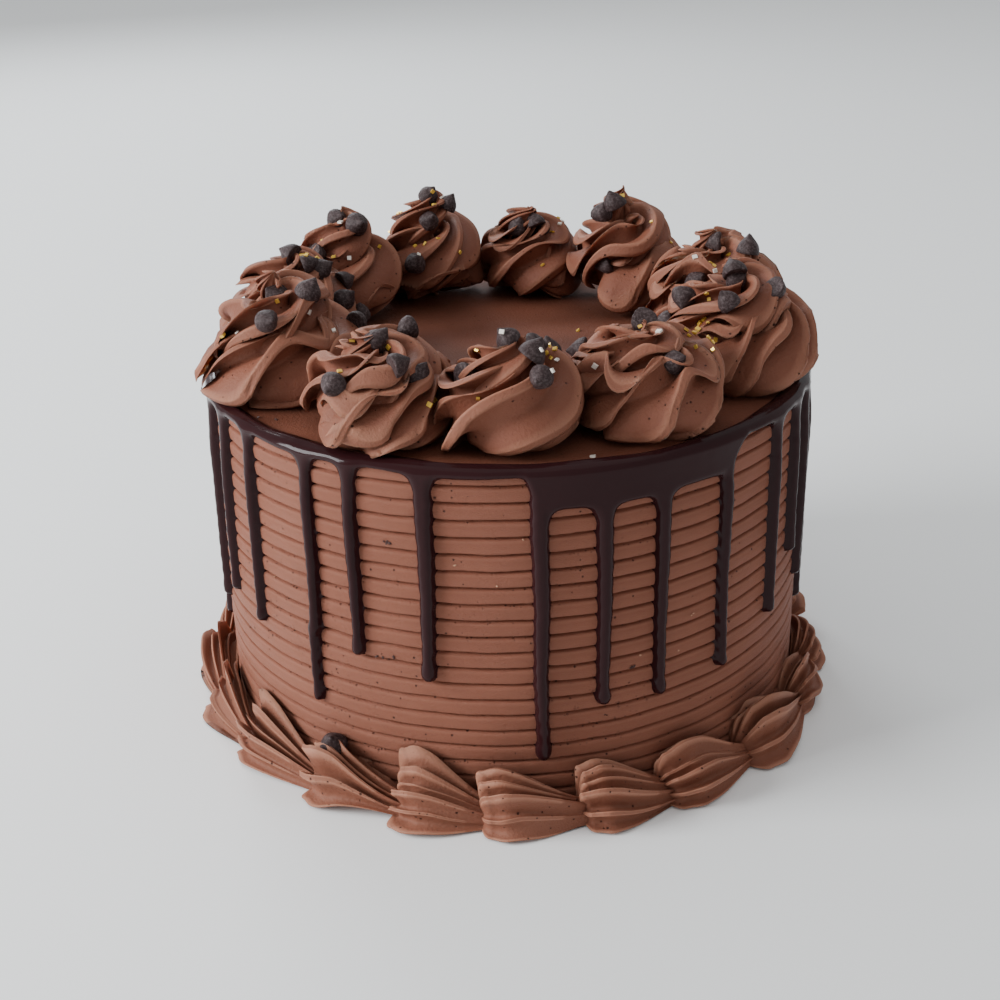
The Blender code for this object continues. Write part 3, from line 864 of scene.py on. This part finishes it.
def chip_places():
    """Every chip's place, as (centre, way out of the cream, way it points, turn)."""
    found = []
    for index in range(len(SWIRLS)):
        draw = random.Random(100 + index)
        for bearing, share in CHIPS[index]:
            b = math.radians(bearing)
            side = Vector((math.sin(b), -math.cos(b), 0))
            reach = swirl_reach(index, b - math.pi / 2, share) * (1 - RIDGE_DEPTH / 2)
            away = (side + Vector((0, 0, 2 * share * share))).normalized()
            tilt = Vector((draw.uniform(-1, 1), draw.uniform(-1, 1), draw.uniform(-1, 1)))
            lean = LEAN_EACH * index
            across = TIP_LEAN * share
            axis = Vector((across * math.cos(lean), across * math.sin(lean), share * SWIRLS[index][2]))
            centre = Vector(swirl_centre(index)) + axis + side * reach + away * 0.5
            pointing = (away + 0.8 * tilt).normalized()
            found.append((centre, away, pointing, draw.uniform(0, 1)))
    b = math.radians(BORDER_CHIP)
    on_border = Vector((math.sin(b), -math.cos(b), 0)) * (CAKE_R + 4) + Vector((0, 0, 16))
    outwards = Vector((-0.2, -0.5, 0.8)).normalized()
    found.append((on_border, outwards, outwards, 0.4))
    return found


# %% [markdown]
# A line drawn inwards finds the cream, so that every chip rests in it and none floats.

# %% Setting the chips down
def surface_tree(pieces):
    """A search tree over the faces of finished pieces, for finding where a line first meets them."""
    corners = []
    faces = []
    for piece in pieces:
        base = len(corners)
        corners += [v.co[:] for v in piece.data.vertices]
        faces += [[base + k for k in face.vertices] for face in piece.data.polygons]
    return BVHTree.FromPolygons(corners, faces)


def settle(tree, centre, away):
    """Move a chip's centre in along its own line until it rests in the cream by half its height."""
    start = (Vector(centre) + SEARCH_FROM * away) * MM
    hit = tree.ray_cast(start, -away, SEARCH_M)[0]
    return Vector(centre) if hit is None else hit / MM + REST_OUT * away


def make_chips(material):
    """One profile turned round, then copied to every place with its own size and dents."""
    tree = surface_tree(swirls + [border])
    around = np.linspace(0, 2 * math.pi, CHIP_SIDES, endpoint=False)[None, :]
    radii = np.array([r for r, _ in CHIP_PROFILE])[:, None] * CHIP_R
    heights = np.array([z for _, z in CHIP_PROFILE])[:, None] * CHIP_H
    points, faces = [], []
    base = 0
    for number, (centre, away, pointing, turn) in enumerate(chip_places()):
        draw = np.random.default_rng(700 + number)
        size = draw.uniform(0.9, 1.08)
        # Every other chip has rolled over and shows its side or its flat base
        if number % 2:
            pointing = (pointing + 1.5 * Vector(draw.uniform(-1, 1, 3))).normalized()
        dents = 1 + CHIP_DENTS * ripples(720 + number, 6, 4, 0.15)(around, heights)
        curl = 0.5 * (heights / CHIP_H) ** 3
        x = radii * dents * np.cos(around + turn) + curl
        y = radii * dents * np.sin(around + turn)
        z = heights + 0 * around
        grid = np.stack([x, y, z], axis=-1)
        local, own_faces = closed_grid(grid, [[0, 0, 0.15], [0.6, 0, CHIP_H]], True)
        local = local * size
        local[:, 2] -= CHIP_MIDDLE * CHIP_H * size
        turned = np.array(pointing.to_track_quat("Z", "Y").to_matrix())
        points.append(local @ turned.T + np.array(settle(tree, centre, away)))
        faces += [face + base for face in own_faces]
        base += len(local)
    return add_piece("chocolate_chips", np.vstack(points), faces, material)


# %% [markdown]
# Dry chocolate is dull, and a fine noise gives it its pale bloom.

# %% The chips' material
CHIP_DARK = (0.030, 0.0165, 0.0165, 1)
CHIP_DUST = (0.165, 0.124, 0.124, 1)


def make_chip_material():
    """Dull dark chocolate, with a paler dusty bloom in speckles."""
    material, nodes, link, shader = new_material("Chocolate chip")
    where = nodes.new("ShaderNodeTexCoord").outputs["Object"]
    speckle = noise(nodes, link, where, 1500.0, 3.0, 0.7)
    bloom = nodes.new("ShaderNodeMapRange")
    bloom.inputs["From Min"].default_value = 0.44
    bloom.inputs["From Max"].default_value = 0.70
    link(speckle, bloom.inputs["Value"])
    patch = noise(nodes, link, where, 350.0, 2.0)
    amount = calculate(nodes, link, "MULTIPLY", bloom.outputs["Result"], patch)
    shade = mix_colour(nodes, link, amount, CHIP_DARK, CHIP_DUST)
    link(shade, shader.inputs["Base Color"])
    shader.inputs["Roughness"].default_value = 0.55
    shader.inputs["Specular IOR Level"].default_value = 0.22
    add_bump(nodes, link, shader, speckle, 0.7, 0.0003)
    return material


chips = make_chips(make_chip_material())
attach(chips, "root")

# %% [markdown]
# ## Coloured sugar and crumbs
# Gold and white sugar crystals were sprinkled last. Each is a small box, lying flat on whatever it fell
# on. To put them where they are seen, a line is drawn from the camera through a point of the picture, and
# the crystal lies where the line first meets the cream. The back of the cake gets its share at random.
# Crumbs are the same, only rounder and in other colours.

# %% Camera position
CAMERA_AT = Vector((0.0, -0.41273, 0.2349))
PITCH, YAW, ROLL = 0.42150, -0.0071, -0.0216
LENS, SENSOR = 57.59, 36.0
PICTURE = 1000
forward = Vector((math.sin(YAW) * math.cos(PITCH), math.cos(YAW) * math.cos(PITCH), -math.sin(PITCH)))
right = Vector((math.cos(YAW), -math.sin(YAW), 0))
above = right.cross(forward)
picture_right = math.cos(ROLL) * right + math.sin(ROLL) * above
picture_up = -math.sin(ROLL) * right + math.cos(ROLL) * above


def line_of_sight(across, down):
    """Direction from the camera through a point of the picture, counted from its upper left corner."""
    x = (across - PICTURE / 2) / PICTURE * SENSOR / LENS
    y = (PICTURE / 2 - down) / PICTURE * SENSOR / LENS
    return (forward + x * picture_right + y * picture_up).normalized()


# %% [markdown]
# Now the crystals. Two lists hold the points of the picture where gold and white ones were seen. Copies of
# one small box go into one mesh, which is lighter than an object for each.

# %% Sugar crystals
GOLD_SEEN = ((277, 301), (222, 335), (340, 372), (389, 347), (430, 405), (434, 400), (478, 350), (547, 353),
             (551, 358), (549, 345), (555, 349), (578, 331), (640, 327), (700, 324), (704, 320), (708, 323),
             (698, 329), (694, 333), (689, 336), (712, 342), (715, 340), (708, 338), (696, 347), (713, 350),
             (706, 293), (709, 299), (686, 330), (478, 398), (352, 341))
WHITE_SEEN = ((237, 333), (502, 332), (541, 350), (557, 360), (552, 371), (659, 332), (309, 312), (334, 331),
              (595, 366), (593, 457))
CRYSTAL = 1.15
CRYSTALS_BEHIND = 34


def crystal(size, draw):
    """Corners and faces of a thin box, its sides 1 : 1 : 0.45 and a little uneven."""
    half = size / 2 * np.array([1.0, draw.uniform(0.8, 1.0), 0.45])
    corners = np.array([[x, y, z] for z in (-1, 1) for y in (-1, 1) for x in (-1, 1)]) * half
    corners = corners * (1 + 0.06 * draw.uniform(-1, 1, corners.shape))
    faces = np.array([[0, 2, 3, 1], [4, 5, 7, 6], [0, 1, 5, 4], [2, 6, 7, 3], [0, 4, 6, 2], [1, 3, 7, 5]])
    return corners, faces


def seen_spots(tree, picture_points):
    """Where the lines of sight through points of the picture meet the surface, as (point, normal)."""
    spots = []
    for across, down in picture_points:
        hit, normal, _, _ = tree.ray_cast(CAMERA_AT, line_of_sight(across, down))
        if hit is not None:
            spots.append((hit / MM, normal))
    return spots


def behind_spots(tree, count, seed):
    """Spots on the swirls at the back and sides, found by dropping lines on the ring of swirls."""
    draw = np.random.default_rng(seed)
    spots = []
    while len(spots) < count:
        bearing = math.radians(draw.uniform(95, 265))
        start = Vector(place(bearing, SWIRL_RING + draw.normal(0, 7), 150.0)) * MM
        hit, normal, _, _ = tree.ray_cast(start, Vector((0, 0, -1)))
        if hit is not None and hit.z > (CAKE_H + 6) * MM:
            spots.append((hit / MM, normal))
    return spots


def scatter(name, spots, seed, size, shape, material):
    """One mesh with a small shape at every spot, lying on the surface and turned at random."""
    draw = np.random.default_rng(seed)
    points, faces = [], []
    base = 0
    for spot, normal in spots:
        corners, own_faces = shape(size * draw.uniform(0.75, 1.15), draw)
        lying = (normal + 0.5 * Vector(draw.uniform(-1, 1, 3))).normalized()
        turn = lying.to_track_quat("Z", "Y").to_matrix() @ Matrix.Rotation(draw.uniform(0, 6.3), 3, "Z")
        points.append(corners @ np.array(turn).T + np.array(spot + 0.2 * normal))
        faces.append(own_faces + base)
        base += len(corners)
    piece = add_piece(name, np.vstack(points), faces, material)
    piece.data.shade_flat()
    return piece


def plain_material(name, colour, roughness, input_name, value):
    """A material of one colour, with one more input of its shader set."""
    material, _, _, shader = new_material(name)
    shader.inputs["Base Color"].default_value = colour
    shader.inputs["Roughness"].default_value = roughness
    shader.inputs[input_name].default_value = value
    return material


cream_tree = surface_tree(swirls + [border, body, chips])
gold_spots = seen_spots(cream_tree, GOLD_SEEN) + behind_spots(cream_tree, CRYSTALS_BEHIND, 31)
white_spots = seen_spots(cream_tree, WHITE_SEEN) + behind_spots(cream_tree, CRYSTALS_BEHIND // 2, 32)
gold = scatter("gold_sugar", gold_spots, 33, CRYSTAL, crystal,
               plain_material("Gold sugar", (0.78, 0.50, 0.085, 1), 0.3, "Metallic", 0.35))
white = scatter("white_sugar", white_spots, 34, CRYSTAL, crystal,
                plain_material("White sugar", (0.80, 0.74, 0.66, 1), 0.3, "Metallic", 0.1))
for piece in (gold, white):
    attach(piece, "root")

# %% [markdown]
# The comb also caught a few crumbs, dark ones of chocolate and pale ones of sponge. Each is a rough little
# double cone, laid on the side by the same function as the crystals.

# %% Crumbs on the side
DARK_SEEN = ((387, 542), (384, 541), (390, 543), (377, 656), (383, 657), (389, 659), (394, 657), (634, 666),
             (631, 667), (258, 418), (276, 420))
PALE_SEEN = ((497, 586), (455, 565), (691, 615), (693, 613), (275, 577), (640, 655), (678, 650), (523, 540))
CRUMB = 1.1


def crumb(size, draw):
    """A rough little lump: the corners and faces of an eight-sided double cone, all pushed about."""
    turn = np.linspace(0, 2 * math.pi, 6, endpoint=False)
    ring = np.stack([np.cos(turn), np.sin(turn) * 0.7, 0 * turn], axis=-1)
    corners = np.vstack([ring, [[0, 0, 0.5], [0, 0, -0.5]]]) * size / 2
    corners = corners * (1 + 0.3 * draw.uniform(-1, 1, corners.shape))
    first = np.arange(6)
    faces = np.vstack([fan(first, 6), fan(first, 7)[:, ::-1]])
    return corners, faces


side_tree = surface_tree([body])
dark_crumbs = scatter("dark_crumbs", seen_spots(side_tree, DARK_SEEN), 41, CRUMB, crumb,
                      plain_material("Dark crumb", (0.045, 0.014, 0.010, 1), 0.7, "Metallic", 0.0))
pale_crumbs = scatter("pale_crumbs", seen_spots(side_tree, PALE_SEEN), 42, 0.75 * CRUMB, crumb,
                      plain_material("Pale crumb", (0.42, 0.22, 0.13, 1), 0.6, "Metallic", 0.0))
for piece in (dark_crumbs, pale_crumbs):
    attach(piece, "root")

# %% [markdown]
# ## Floor, light and camera
# A plain pale table, a big soft light from the left like a window, a weaker one behind the cake and a faint
# one above. The camera has a lens of about 58 mm and looks down on the cake by 24 degrees.

# %% Stage
def make_floor():
    """A wide pale plane just under the cake."""
    bpy.ops.mesh.primitive_plane_add(size=30.0, location=(0, 0, -0.0004))
    floor = bpy.context.object
    floor.name = "table"
    floor.data.materials.append(
        plain_material("Pale table", (0.93, 0.94, 0.935, 1), 0.6, "Specular IOR Level", 0.3))
    return floor


floor = make_floor()


def add_light(name, location, target, size, power, colour):
    """A square area light that faces a target."""
    light = bpy.data.lights.new(name, "AREA")
    light.size = size
    light.energy = power
    light.color = colour
    lamp = bpy.data.objects.new(name, light)
    lamp.location = location
    lamp.rotation_euler = (Vector(target) - Vector(location)).to_track_quat("-Z", "Y").to_euler()
    bpy.context.scene.collection.objects.link(lamp)


MIDDLE = (0, 0, 0.06)
add_light("window", (-1.15, -0.30, 0.55), MIDDLE, 0.6, 26.0, (0.96, 0.98, 1.0))
add_light("back_window", (-0.45, 1.05, 0.7), MIDDLE, 0.5, 7.0, (0.92, 0.96, 1.0))
add_light("ceiling", (0.1, -0.2, 1.4), MIDDLE, 1.4, 3.0, (1.0, 0.97, 0.93))
world = bpy.data.worlds.new("studio")
bpy.context.scene.world = world
world.use_nodes = True
world.node_tree.nodes["Background"].inputs["Color"].default_value = (0.90, 0.92, 0.94, 1)
world.node_tree.nodes["Background"].inputs["Strength"].default_value = 0.66

# %% [markdown]
# The camera stands where the rings of the comb and the outline of the cake say it stood. Its three axes
# were worked out above for the lines of sight, and here they make its matrix.

# %% Camera
camera_data = bpy.data.cameras.new("camera")
camera_data.lens = LENS
camera_data.sensor_width = SENSOR
camera_data.clip_start = 0.01
camera = bpy.data.objects.new("camera", camera_data)
axes = Matrix((picture_right, picture_up, -forward)).transposed()
camera.matrix_world = Matrix.Translation(CAMERA_AT) @ axes.to_4x4()
bpy.context.scene.collection.objects.link(camera)
bpy.context.scene.camera = camera
